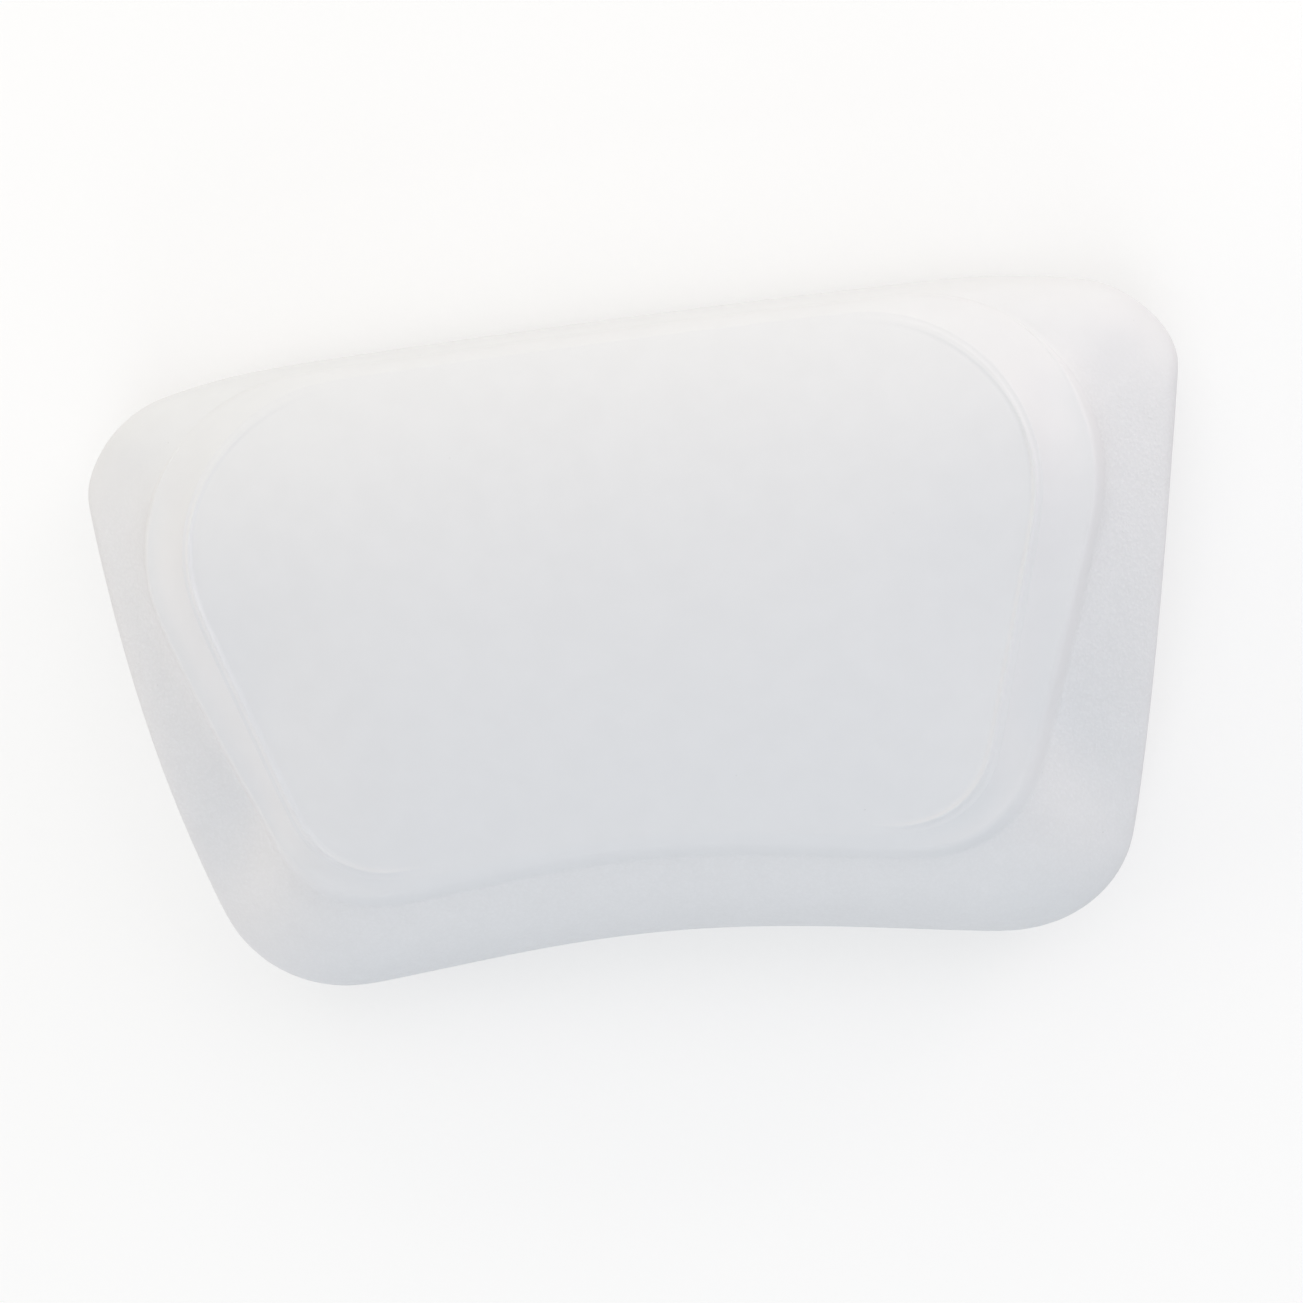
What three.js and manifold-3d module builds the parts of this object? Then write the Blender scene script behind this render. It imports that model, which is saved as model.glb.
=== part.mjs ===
// Bath pillow: a moulded foam cushion on a buried insert plate, held to the tub by four suction cups.
// Millimetres. +Z comes out of the front, +Y points to the wide top edge, and +X to the right as seen from
// the front. The rims of the suction cups rest on the plane z = 0, and the origin lies below the middle of
// the cushion.
import * as THREE from "three";
import { mergeVertices } from "three/addons/utils/BufferGeometryUtils.js";
import Module from "manifold-3d";

const wasm = await Module();
wasm.setup();

// Cushion, seen from the front: a rounded trapezoid with a hollow bottom edge.
// Half widths and reaches run to the sharp corners that the four corner arcs round off.
const cushion_half_width_top = 158.1;
const cushion_half_width_bottom = 123.4;
const cushion_reach_up = 92.6;
const cushion_reach_down = 93.7;
const outline_top_corner_radius = 21.5;
const outline_bottom_corner_radius = 40;
const outline_crown = 2.9;
const outline_side_bulge = 1.7;
const shoulder_drop = 11.2;
const shoulder_width = 61.4;
const neck_hollow_depth = 15.8;
const neck_hollow_spread = 99.5;

// Flange: how far the foot of the raised panel lies inside the outline.
const flange_side_top = 8.3;
const flange_side_bottom = 24.7;
const flange_bottom = 30.8;
const flange_top = 4.3;
const panel_top_corner_radius = 46.7;
const panel_bottom_corner_radius = 39;
const panel_hollow_depth = 11.9;
const panel_hollow_spread = 75;

// Band: how far the bead lies inside the edge of the raised panel.
const band_side_top = 22.2;
const band_side_bottom = 10;
const band_bottom = 10;
const band_top = 5.8;
const bead_top_corner_radius = 42;
const bead_bottom_corner_radius = 29.5;
const bead_hollow_depth = 10.9;
const bead_hollow_spread = 68;

// Heights over the rim plane of the cups, and what falls away from them.
const back_height = 5;
const widest_height = 37.9;
const widest_fall = 24;
const crest_height = 66.9;
const crest_from_top = 69.6;
const crest_fall_up = 15.7;
const crest_fall_down = 12.2;
const side_fall = 9;
const band_drop_sides = 7.5;
const band_drop_bottom = 0.6;
const step_height_sides = 7.9;
const step_height_bottom = 3.7;
const step_edge_inset = 2.8;
const step_foot_outset = 1.4;
const bead_height = 0.65;
const bead_half_width = 1.5;
const dish_depth = 0.6;

// Suction cup.
const cup_rim_radius = 23;
const cup_cavity_radius = 20;
const cup_cavity_depth = 6.2;
const cup_dome_height = 8.2;
const cup_lip_thickness = 0.8;
const cup_shoulder_radius = 6.2;
const cup_neck_radius = 4;
const cup_head_radius = 6.5;
const cup_head_edge = 0.8;
const cup_head_height = 3.6;
const tab_reach = 6;
const tab_half_width = 5;
const tab_thickness = 1.6;
const tab_lift = 0.5;

// Cup places: how far each cup's axis lies inside the cushion's half widths and reaches.
const cup_inset_side_top = 60.1;
const cup_inset_top = 46.6;
const cup_inset_side_bottom = 51.4;
const cup_inset_bottom = 58.7;

// Insert plate and the pockets that lay it bare.
const plate_face_height = 10;
const plate_thickness = 2.5;
const pocket_radius = 30.5;
const plate_margin = 3.5;
const flow_hole_radius = 7;
const flow_hole_spacing_x = 46;
const flow_hole_spacing_y = 40;

// Socket caps over the cup heads.
const cap_wall = 1.4;
const cap_flange_width = 5;
const cap_flange_thickness = 1.6;
const peg_count = 3;
const peg_radius = 1.5;
const peg_head_radius = 2.4;
const peg_head_height = 0.7;

// Clearances.
const seat_gap = 0.3;
const neck_clearance = 0.4;
const head_side_clearance = 1.5;
const head_top_clearance = 0.6;
const cut_overrun = 1;

// Fineness.
const merge_distance = 1e-4;
const cup_segments = 24;
const pocket_segments = 20;
const cap_segments = 12;
const hole_segments = 8;
const arc_segments = 4;
const peg_segments = 8;
const dome_steps = 5;
const quarter_turn = Math.PI / 2;
const full_turn = Math.PI * 2;

// Worked out from the sizes above.
const cup_top_x = cushion_half_width_top - cup_inset_side_top;
const cup_top_y = cushion_reach_up - cup_inset_top;
const cup_bottom_x = cushion_half_width_bottom - cup_inset_side_bottom;
const cup_bottom_y = cup_inset_bottom - cushion_reach_down;
const shoulder_height = plate_face_height - seat_gap;
const plate_top_height = plate_face_height + plate_thickness;
const head_base_height = plate_top_height + seat_gap;
const cap_inner_radius = cup_head_radius + head_side_clearance;
const cap_inner_top = head_base_height + cup_head_height + head_top_clearance;
const cap_outer_radius = cap_inner_radius + cap_wall;
const cap_flange_radius = cap_outer_radius + cap_flange_width;
const peg_circle_radius = cap_outer_radius + cap_flange_width / 2;

const cups = [
  { name: "top_left", x: -cup_top_x, y: cup_top_y, turn: Math.PI },
  { name: "top_right", x: cup_top_x, y: cup_top_y, turn: 0 },
  { name: "bottom_left", x: -cup_bottom_x, y: cup_bottom_y, turn: Math.PI },
  { name: "bottom_right", x: cup_bottom_x, y: cup_bottom_y, turn: 0 },
];

const materials = {
  cushion: () => new THREE.MeshStandardMaterial({ color: 0xe3e4e7, roughness: 0.55, metalness: 0 }),
  plate: () => new THREE.MeshStandardMaterial({ color: 0xd9dad8, roughness: 0.5, metalness: 0 }),
  cap: () => new THREE.MeshStandardMaterial({ color: 0xcfd2d3, roughness: 0.45, metalness: 0 }),
  cup: () =>
    new THREE.MeshStandardMaterial({
      color: 0xdfe8ea,
      roughness: 0.15,
      metalness: 0,
      transparent: true,
      opacity: 0.5,
    }),
};

// Solids for cutting and joining.

function toSolid(geometry) {
  const bare = geometry.clone();
  bare.deleteAttribute("normal");
  bare.deleteAttribute("uv");
  const merged = mergeVertices(bare, merge_distance);
  const vertProperties = Float32Array.from(merged.attributes.position.array);
  const triVerts = Uint32Array.from(merged.index.array);
  return new wasm.Manifold(new wasm.Mesh({ numProp: 3, vertProperties, triVerts }));
}

function toGeometry(solid) {
  const mesh = solid.getMesh();
  const geometry = new THREE.BufferGeometry();
  geometry.setAttribute("position", new THREE.BufferAttribute(Float32Array.from(mesh.vertProperties), 3));
  geometry.setIndex(new THREE.BufferAttribute(Uint32Array.from(mesh.triVerts), 1));
  geometry.computeVertexNormals();
  return geometry;
}

function subtractAll(solid, tools) {
  return tools.reduce((left, tool) => left.subtract(tool), solid);
}

function addAll(solid, pieces) {
  return pieces.reduce((joined, piece) => joined.add(piece), solid);
}

// An upright cylinder from z = low to z = high.
function upright(radius, low, high, segments, x = 0, y = 0) {
  const geometry = new THREE.CylinderGeometry(radius, radius, high - low, segments);
  geometry.rotateX(quarter_turn);
  geometry.translate(x, y, (low + high) / 2);
  return toSolid(geometry);
}

// A profile of [radius, height] pairs turned round the z axis.
function turned(profile, segments) {
  const points = profile.map(([radius, height]) => new THREE.Vector2(radius, height));
  const geometry = new THREE.LatheGeometry(points, segments);
  geometry.rotateX(quarter_turn);
  return geometry;
}

// Cushion.

// The rings of the cushion are rounded trapezoids that share one order of points, so any two can be blended.
function filletPoints(before, corner, after, radius, steps) {
  const toBefore = before.clone().sub(corner).normalize();
  const toAfter = after.clone().sub(corner).normalize();
  const half = Math.acos(toBefore.dot(toAfter)) / 2;
  const start = corner.clone().addScaledVector(toBefore, radius / Math.tan(half));
  const end = corner.clone().addScaledVector(toAfter, radius / Math.tan(half));
  const bisector = toBefore.clone().add(toAfter).normalize();
  const centre = corner.clone().addScaledVector(bisector, radius / Math.sin(half));
  const startAngle = start.clone().sub(centre).angle();
  let sweep = startAngle - end.clone().sub(centre).angle();
  if (sweep < 0) sweep += full_turn;
  return Array.from({ length: steps + 1 }, (_, i) => {
    const angle = startAngle - (sweep * i) / steps;
    return new THREE.Vector2(Math.cos(angle), Math.sin(angle)).multiplyScalar(radius).add(centre);
  });
}

function linePoints(start, end, steps) {
  return Array.from({ length: steps + 1 }, (_, i) => start.clone().lerp(end, i / steps));
}

const top_line_steps = 5;
const top_corner_steps = 6;
const side_line_steps = 3;
const bottom_corner_steps = 5;
const bottom_line_steps = 4;

// One ring, from the middle of the top edge clockwise as seen from the front.
function ringPoints(ring) {
  const topMiddle = new THREE.Vector2(0, ring.top);
  const topCorner = new THREE.Vector2(ring.halfTop, ring.top);
  const bottomCorner = new THREE.Vector2(ring.halfBottom, ring.bottom);
  const bottomMiddle = new THREE.Vector2(0, ring.bottom);
  const upper = filletPoints(topMiddle, topCorner, bottomCorner, ring.topRadius, top_corner_steps);
  const lower = filletPoints(topCorner, bottomCorner, bottomMiddle, ring.bottomRadius, bottom_corner_steps);
  const half = [
    ...linePoints(topMiddle, upper[0], top_line_steps),
    ...upper.slice(1),
    ...linePoints(upper.at(-1), lower[0], side_line_steps).slice(1),
    ...lower.slice(1),
    ...linePoints(lower.at(-1), bottomMiddle, bottom_line_steps).slice(1),
  ];
  const bent = half.map((point) => bendEdges(point, ring));
  const mirrored = bent.slice(1, -1).reverse();
  return [...bent, ...mirrored.map((point) => new THREE.Vector2(-point.x, point.y))];
}

const bulge_reach_share = 6;

// Lifts the top edge into its slight crown and lets it fall to its shoulders, bulges the sides, and lifts
// the bottom edge into the hollow for the neck.
function bendEdges(point, ring) {
  const towardsTop = Math.max(0, point.y / ring.top) ** 2;
  const towardsBottom = Math.max(0, point.y / ring.bottom) ** 2;
  const crown = ring.crown * towardsTop * (1 - (point.x / cushion_half_width_top) ** 2);
  const pastShoulder = Math.max(0, 1 - (cushion_half_width_top - point.x) / shoulder_width);
  const fall = ring.shoulder * towardsTop * pastShoulder ** 2;
  const hollow = ring.hollow * towardsBottom * Math.exp(-((point.x / ring.spread) ** 2));
  const upSide = (point.y - ring.bottom) / (ring.top - ring.bottom);
  const sideX = THREE.MathUtils.lerp(ring.halfBottom, ring.halfTop, upSide);
  const bulge = ring.bulge * 4 * upSide * (1 - upSide) * Math.min(1, point.x / sideX) ** bulge_reach_share;
  return new THREE.Vector2(point.x + bulge, point.y + crown - fall + hollow);
}

const outline_ring = {
  halfTop: cushion_half_width_top,
  halfBottom: cushion_half_width_bottom,
  top: cushion_reach_up,
  bottom: -cushion_reach_down,
  topRadius: outline_top_corner_radius,
  bottomRadius: outline_bottom_corner_radius,
  crown: outline_crown,
  shoulder: shoulder_drop,
  bulge: outline_side_bulge,
  hollow: neck_hollow_depth,
  spread: neck_hollow_spread,
};

const panel_ring = {
  halfTop: outline_ring.halfTop - flange_side_top,
  halfBottom: outline_ring.halfBottom - flange_side_bottom,
  top: outline_ring.top - flange_top,
  bottom: outline_ring.bottom + flange_bottom,
  topRadius: panel_top_corner_radius,
  bottomRadius: panel_bottom_corner_radius,
  crown: outline_crown,
  shoulder: 0,
  bulge: 0,
  hollow: panel_hollow_depth,
  spread: panel_hollow_spread,
};

const bead_ring = {
  halfTop: panel_ring.halfTop - band_side_top,
  halfBottom: panel_ring.halfBottom - band_side_bottom,
  top: panel_ring.top - band_top,
  bottom: panel_ring.bottom + band_bottom,
  topRadius: bead_top_corner_radius,
  bottomRadius: bead_bottom_corner_radius,
  crown: outline_crown,
  shoulder: 0,
  bulge: 0,
  hollow: bead_hollow_depth,
  spread: bead_hollow_spread,
};

// The same ring drawn in on every side by one distance.
function inset(ring, distance) {
  return {
    ...ring,
    halfTop: ring.halfTop - distance,
    halfBottom: ring.halfBottom - distance,
    top: ring.top - distance,
    bottom: ring.bottom + distance,
    topRadius: ring.topRadius - distance,
    bottomRadius: ring.bottomRadius - distance,
  };
}

// Height of the head rest's curved face: it falls from a crest line to the top, the bottom and both sides.
const crest_roll_share = 0.28;

function faceHeight(point) {
  const crestY = cushion_reach_up - crest_from_top;
  const alongY = (point.y - crestY) / crest_from_top;
  const alongX = point.x / cushion_half_width_top;
  const fallUp = crest_fall_up * (1 + crest_roll_share * alongY ** 2);
  const fall = alongY > 0 ? fallUp : crest_fall_down;
  return crest_height - fall * alongY ** 2 - side_fall * alongX ** 4;
}

// How much of the bead shows at a point: it fades out at the bottom corners and is gone along the bottom.
const bead_fade_start_share = 0.45;
const bead_fade_end_share = 0.95;

function beadShare(point) {
  const down = point.y / bead_ring.bottom;
  return 1 - THREE.MathUtils.smoothstep(down, bead_fade_start_share, bead_fade_end_share);
}

// How far a point of the panel's edge belongs to the top roll, and how far to the bottom edge.
const top_start_share = 0.62;
const top_end_share = 0.94;
const bottom_start_share = 0.39;
const bottom_end_share = 0.93;

function topShare(point) {
  return THREE.MathUtils.smoothstep(point.y / panel_ring.top, top_start_share, top_end_share);
}

function bottomShare(point) {
  return THREE.MathUtils.smoothstep(point.y / panel_ring.bottom, bottom_start_share, bottom_end_share);
}

// The step is highest at the sides, lower along the bottom, and runs out over the top roll.
const step_fade_start_share = 0.39;
const step_fade_end_share = 0.99;

function stepHeight(point) {
  const up = point.y / panel_ring.top;
  const fade = 1 - THREE.MathUtils.smoothstep(up, step_fade_start_share, step_fade_end_share);
  return fade * THREE.MathUtils.lerp(step_height_sides, step_height_bottom, bottomShare(point));
}

// A cubic curve of four shares.
function cubic(shares, t) {
  const [start, first, second, end] = shares;
  const s = 1 - t;
  return s ** 3 * start + 3 * s * s * t * first + 3 * s * t * t * second + t ** 3 * end;
}

// A ring between two others: each point goes its share of the way across and its share of the way down.
function ringBetween(from, to, across, down) {
  return from.map((point, i) => {
    const x = THREE.MathUtils.lerp(point.x, to[i].x, across[i]);
    const y = THREE.MathUtils.lerp(point.y, to[i].y, across[i]);
    return new THREE.Vector3(x, y, THREE.MathUtils.lerp(point.z, to[i].z, down[i]));
  });
}

// The same step along a curve for every point of a ring. The curve of the sides goes over into that of the
// bottom and that of the top as far as the point belongs to them.
function sharesAt(t, { side, bottom = side, top = side }, places) {
  return places.map((place) => {
    const lower = THREE.MathUtils.lerp(cubic(side, t), cubic(bottom, t), place.bottom);
    return THREE.MathUtils.lerp(lower, cubic(top, t), place.top);
  });
}

function lift(points, height) {
  return points.map((point) => new THREE.Vector3(point.x, point.y, height(point)));
}

// Head rest: scaled-down copies of the bead's inner edge, dished a little, most of all just inside the bead.
const panel_ring_shares = [0.45, 0.85];
const dish_shares = [0.2, 1];

function headRestRings() {
  const edge = ringPoints(inset(bead_ring, bead_half_width));
  return panel_ring_shares.map((share, i) =>
    lift(
      edge.map((point) => point.clone().multiplyScalar(share)),
      (point) => faceHeight(point) - dish_depth * dish_shares[i],
    ),
  );
}

function beadRings() {
  const dishHeight = (point) => faceHeight(point) - dish_depth;
  const crestHeight = (point) => faceHeight(point) + bead_height * beadShare(point);
  const inner = lift(ringPoints(inset(bead_ring, bead_half_width)), dishHeight);
  const crest = lift(ringPoints(bead_ring), crestHeight);
  const outer = lift(ringPoints(inset(bead_ring, -bead_half_width)), dishHeight);
  return [inner, crest, outer];
}

// The panel's edge and the foot of its step, which come together over the top roll.
function panelRing(distance) {
  const drawn = ringPoints(inset(panel_ring, distance));
  return ringPoints(panel_ring).map((point, i) => drawn[i].lerp(point, topShare(point)));
}

// Band: it falls outwards to the panel's edge in a cove, less along the bottom than at the sides.
// Over the top it rounds over instead.
const band_across_shares = { side: [0, 0.3, 0.66, 1], top: [0, 0.55, 1, 1] };
const band_down_shares = { side: [0, 0.52, 0.95, 1], bottom: [0, 0.3, 0.66, 1], top: [0, 0.3, 0.55, 1] };
const band_middle_share = 0.5;

function bandRings(beadOuter, places) {
  const bandDrop = (point) => THREE.MathUtils.lerp(band_drop_sides, band_drop_bottom, bottomShare(point));
  const edge = lift(panelRing(step_edge_inset), (point) => faceHeight(point) - bandDrop(point));
  const across = sharesAt(band_middle_share, band_across_shares, places);
  const down = sharesAt(band_middle_share, band_down_shares, places);
  return [ringBetween(beadOuter, edge, across, down), edge];
}

// Step: it drops from the panel's edge to the flange, steepest half way down.
const step_across_shares = { side: [0, 0.5, 0.6, 1] };
const step_down_shares = { side: [0, 0.1, 0.75, 1], bottom: [0, 0.35, 0.65, 1] };
const step_middle_share = 0.5;

function stepRings(edge, places) {
  const panel = ringPoints(panel_ring);
  const foot = panelRing(-step_foot_outset).map((point, i) => {
    return new THREE.Vector3(point.x, point.y, edge[i].z - stepHeight(panel[i]));
  });
  const across = sharesAt(step_middle_share, step_across_shares, places);
  const down = sharesAt(step_middle_share, step_down_shares, places);
  return [ringBetween(edge, foot, across, down), foot];
}

// Flange: from the foot of the step it slopes and rolls over to the outline, then tucks in under it to the
// back. The roll is a cubic curve from the foot at (0, 0) to the widest line at (1, 1), across and down.
const roll_across_shares = { side: [0, 0.25, 1, 1], bottom: [0, 0.42, 1, 1], top: [0, 0.6, 1, 1] };
const roll_down_shares = { side: [0, 0.34, 0.48, 1], bottom: [0, 0.22, 0.45, 1], top: [0, 0.24, 0.46, 1] };
const roll_shares = [0.25, 0.5, 0.75];
const tuck_turn_shares = [0.35, 0.75, 1];
const tuck_share = 0.5;

// The widest line bows up at the sides, and lies lowest along the top and bottom edges.
function widestHeight(point) {
  return widest_height - widest_fall * (point.y / cushion_reach_up) ** 2;
}

function flangeRings(foot, places) {
  const widest = lift(ringPoints(outline_ring), widestHeight);
  const rolled = roll_shares.map((share) => {
    const across = sharesAt(share, roll_across_shares, places);
    const down = sharesAt(share, roll_down_shares, places);
    return ringBetween(foot, widest, across, down);
  });
  const backEdge = ringBetween(widest, foot, widest.map(() => tuck_share), widest.map(() => 0));
  const tucked = tuck_turn_shares.map((turn) => {
    const inwards = 1 - Math.cos(turn * quarter_turn);
    const down = Math.sin(turn * quarter_turn);
    return widest.map((point, i) => {
      const x = THREE.MathUtils.lerp(point.x, backEdge[i].x, inwards);
      const y = THREE.MathUtils.lerp(point.y, backEdge[i].y, inwards);
      return new THREE.Vector3(x, y, THREE.MathUtils.lerp(point.z, back_height, down));
    });
  });
  return [...rolled, widest, ...tucked];
}

// A closed surface through the rings, with a fan over the first one and a flat fan under the last.
function loft(rings, firstCentre, lastCentre) {
  const around = rings[0].length;
  const points = [firstCentre, ...rings.flat(), lastCentre];
  const at = (ring, i) => 1 + ring * around + (i % around);
  const triangles = [];
  for (let i = 0; i < around; i++) {
    triangles.push(0, at(0, i + 1), at(0, i));
    for (let ring = 0; ring < rings.length - 1; ring++) {
      triangles.push(at(ring, i), at(ring, i + 1), at(ring + 1, i));
      triangles.push(at(ring, i + 1), at(ring + 1, i + 1), at(ring + 1, i));
    }
    triangles.push(points.length - 1, at(rings.length - 1, i), at(rings.length - 1, i + 1));
  }
  const geometry = new THREE.BufferGeometry().setFromPoints(points);
  geometry.setIndex(triangles);
  return geometry;
}

// The origin lies below the middle of the outline's box.
function outlineMiddle() {
  const heights = ringPoints(outline_ring).map((point) => point.y);
  return (Math.max(...heights) + Math.min(...heights)) / 2;
}

function cushionForm() {
  const places = ringPoints(panel_ring).map((point) => {
    return { bottom: bottomShare(point), top: topShare(point) };
  });
  const bead = beadRings();
  const band = bandRings(bead.at(-1), places);
  const step = stepRings(band.at(-1), places);
  const rings = [...headRestRings(), ...bead, ...band, ...step, ...flangeRings(step.at(-1), places)];
  const frontCentre = new THREE.Vector3(0, 0, faceHeight(new THREE.Vector2(0, 0)));
  const form = toSolid(loft(rings, frontCentre, new THREE.Vector3(0, 0, back_height)));
  return form.translate([0, -outlineMiddle(), 0]);
}

// The foam is moulded round the plate and the caps, and left out of the pockets.
function cushion() {
  const pockets = cups.map(({ x, y }) =>
    upright(pocket_radius, back_height - cut_overrun, plate_face_height + cut_overrun, pocket_segments, x, y),
  );
  const capSpaces = cups.map(({ x, y }) => capSpace().translate([x, y, 0]));
  return toGeometry(subtractAll(cushionForm(), [...pockets, plateBlank(seat_gap), ...capSpaces]));
}

function capSpace() {
  const top = cap_inner_top + cap_wall + seat_gap;
  const flangeTop = head_base_height + cap_flange_thickness + seat_gap;
  const dome = upright(cap_outer_radius + seat_gap, plate_face_height, top, cap_segments);
  const flange = upright(cap_flange_radius + seat_gap, plate_face_height, flangeTop, cap_segments);
  return dome.add(flange);
}

// Insert plate.

const flow_holes = [
  [0, flow_hole_spacing_y / 2],
  [-flow_hole_spacing_x, flow_hole_spacing_y / 2],
  [flow_hole_spacing_x, flow_hole_spacing_y / 2],
  [-flow_hole_spacing_x / 2, -flow_hole_spacing_y / 2],
  [flow_hole_spacing_x / 2, -flow_hole_spacing_y / 2],
];

// The plate's outline is a band laid round the four pockets. A growth makes the space that the foam leaves
// for it.
function plateBlank(growth) {
  const corner_radius = pocket_radius + plate_margin + growth;
  const side_angle = Math.atan2(cup_bottom_x - cup_top_x, cup_top_y - cup_bottom_y);
  const shape = new THREE.Shape();
  shape.absarc(cup_bottom_x, cup_bottom_y, corner_radius, -quarter_turn, side_angle);
  shape.absarc(cup_top_x, cup_top_y, corner_radius, side_angle, quarter_turn);
  shape.absarc(-cup_top_x, cup_top_y, corner_radius, quarter_turn, Math.PI - side_angle);
  shape.absarc(-cup_bottom_x, cup_bottom_y, corner_radius, Math.PI - side_angle, Math.PI + quarter_turn);
  const depth = plate_thickness + 2 * growth;
  const blank = new THREE.ExtrudeGeometry(shape, { depth, bevelEnabled: false, curveSegments: arc_segments });
  blank.translate(0, 0, plate_face_height - growth);
  const holes = flow_holes.map(([x, y]) =>
    upright(
      flow_hole_radius - growth,
      plate_face_height - growth - cut_overrun,
      plate_top_height + growth + cut_overrun,
      hole_segments,
      x,
      y,
    ),
  );
  return subtractAll(toSolid(blank), holes);
}

function pegPlaces() {
  return Array.from({ length: peg_count }, (_, i) => {
    const turn = quarter_turn + (i * full_turn) / peg_count;
    return [peg_circle_radius * Math.cos(turn), peg_circle_radius * Math.sin(turn)];
  });
}

function insertPlate() {
  const low = plate_face_height - cut_overrun;
  const high = plate_top_height + cut_overrun;
  const neck_hole_radius = cup_neck_radius + neck_clearance;
  const neckHoles = cups.map(({ x, y }) => upright(neck_hole_radius, low, high, pocket_segments, x, y));
  const pegHoles = cups.flatMap(({ x, y }) =>
    pegPlaces().map(([px, py]) => upright(peg_radius + seat_gap, low, high, peg_segments, x + px, y + py)),
  );
  return toGeometry(subtractAll(plateBlank(0), [...neckHoles, ...pegHoles]));
}

// Socket cap: a flanged lid over the cup's head, staked to the plate by three pegs.
function socketCap() {
  const low = head_base_height;
  const top = cap_inner_top + cap_wall;
  const flangeTop = low + cap_flange_thickness;
  const shell = turned(
    [
      [0, cap_inner_top],
      [cap_inner_radius, cap_inner_top],
      [cap_inner_radius, low],
      [cap_flange_radius, low],
      [cap_flange_radius, flangeTop],
      [cap_outer_radius, flangeTop],
      [cap_outer_radius, top - cap_wall / 2],
      [cap_outer_radius - cap_wall / 2, top],
      [0, top],
    ],
    cap_segments,
  );
  const pegs = pegPlaces().flatMap(([x, y]) => {
    const headTop = plate_face_height - seat_gap;
    const shankLow = headTop - peg_head_height / 2;
    const shankHigh = low + cap_flange_thickness / 2;
    const shank = upright(peg_radius, shankLow, shankHigh, peg_segments, x, y);
    const head = upright(peg_head_radius, headTop - peg_head_height, headTop, peg_segments, x, y);
    return [shank, head];
  });
  return toGeometry(addAll(toSolid(shell), pegs));
}

// Suction cup: a dome that thins to a flat rim, with a shoulder, a neck, a button head and a finger tab.
function domePoints(radius, from, rise, start) {
  return Array.from({ length: dome_steps }, (_, i) => {
    const r = THREE.MathUtils.lerp(radius, start, i / (dome_steps - 1));
    return [r, from + rise * Math.cos((quarter_turn * r) / radius)];
  });
}

function suctionCup() {
  const headTop = head_base_height + cup_head_height;
  const domeRise = cup_dome_height - cup_lip_thickness;
  const outer = domePoints(cup_rim_radius, cup_lip_thickness, domeRise, cup_shoulder_radius);
  const inner = domePoints(cup_cavity_radius, 0, cup_cavity_depth, 0).reverse();
  const profile = [
    ...inner,
    [cup_rim_radius, 0],
    ...outer,
    [cup_shoulder_radius, shoulder_height],
    [cup_neck_radius, shoulder_height],
    [cup_neck_radius, head_base_height],
    [cup_head_radius, head_base_height],
    [cup_head_radius, head_base_height + cup_head_edge],
    [cup_neck_radius, headTop - cup_head_edge / 2],
    [0, headTop],
  ];
  const body = toSolid(turned(profile, cup_segments));
  return toGeometry(body.add(fingerTab()));
}

// The tab starts inside the rim's lip and ends in a half circle.
function fingerTab() {
  const straight = cup_rim_radius + tab_reach - tab_half_width;
  const root = (cup_rim_radius + cup_cavity_radius) / 2;
  const shape = new THREE.Shape();
  shape.moveTo(root, -tab_half_width);
  shape.lineTo(straight, -tab_half_width);
  shape.absarc(straight, 0, tab_half_width, -quarter_turn, quarter_turn);
  shape.lineTo(root, tab_half_width);
  shape.closePath();
  const geometry = new THREE.ExtrudeGeometry(shape, {
    depth: tab_thickness,
    bevelEnabled: false,
    curveSegments: arc_segments,
  });
  geometry.translate(0, 0, tab_lift);
  return toSolid(geometry);
}

// The assembled pillow.

function node(name, geometry, material) {
  const mesh = new THREE.Mesh(geometry, material);
  mesh.name = name;
  return mesh;
}

const pillow = new THREE.Group();
pillow.add(node("cushion", cushion(), materials.cushion()));
pillow.add(node("insert_plate", insertPlate(), materials.plate()));
for (const { name, x, y, turn } of cups) {
  const cap = node(`socket_cap_${name}`, socketCap(), materials.cap());
  cap.position.set(x, y, 0);
  const cup = node(`suction_cup_${name}`, suctionCup(), materials.cup());
  cup.position.set(x, y, 0);
  cup.rotation.z = turn;
  pillow.add(cap, cup);
}

export default pillow;
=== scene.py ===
"""Bath pillow: its finished surfaces round the fixed frame, and the floor, the light and the camera.

The frame is in metres, with +X across the width, +Y to the wide top edge and +Z out of the front.
Sizes and places are written in millimetres here, and MM turns them to metres. A name that ends in
SHARE or SHARES holds fractions from 0 to 1."""
import math

import bpy
import numpy as np
from mathutils import Matrix, Vector


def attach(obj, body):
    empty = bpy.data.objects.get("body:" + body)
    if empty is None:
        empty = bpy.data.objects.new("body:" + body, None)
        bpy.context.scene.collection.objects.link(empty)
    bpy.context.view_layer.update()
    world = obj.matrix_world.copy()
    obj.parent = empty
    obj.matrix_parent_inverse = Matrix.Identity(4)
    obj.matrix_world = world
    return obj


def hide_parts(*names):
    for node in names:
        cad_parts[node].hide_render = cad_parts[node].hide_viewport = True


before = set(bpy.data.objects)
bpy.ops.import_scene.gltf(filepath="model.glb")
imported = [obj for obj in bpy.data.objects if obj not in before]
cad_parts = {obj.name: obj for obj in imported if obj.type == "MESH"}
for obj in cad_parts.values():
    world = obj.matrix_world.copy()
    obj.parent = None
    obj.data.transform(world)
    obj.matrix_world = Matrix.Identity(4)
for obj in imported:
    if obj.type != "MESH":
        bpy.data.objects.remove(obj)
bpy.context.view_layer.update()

MM = 0.001


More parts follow.
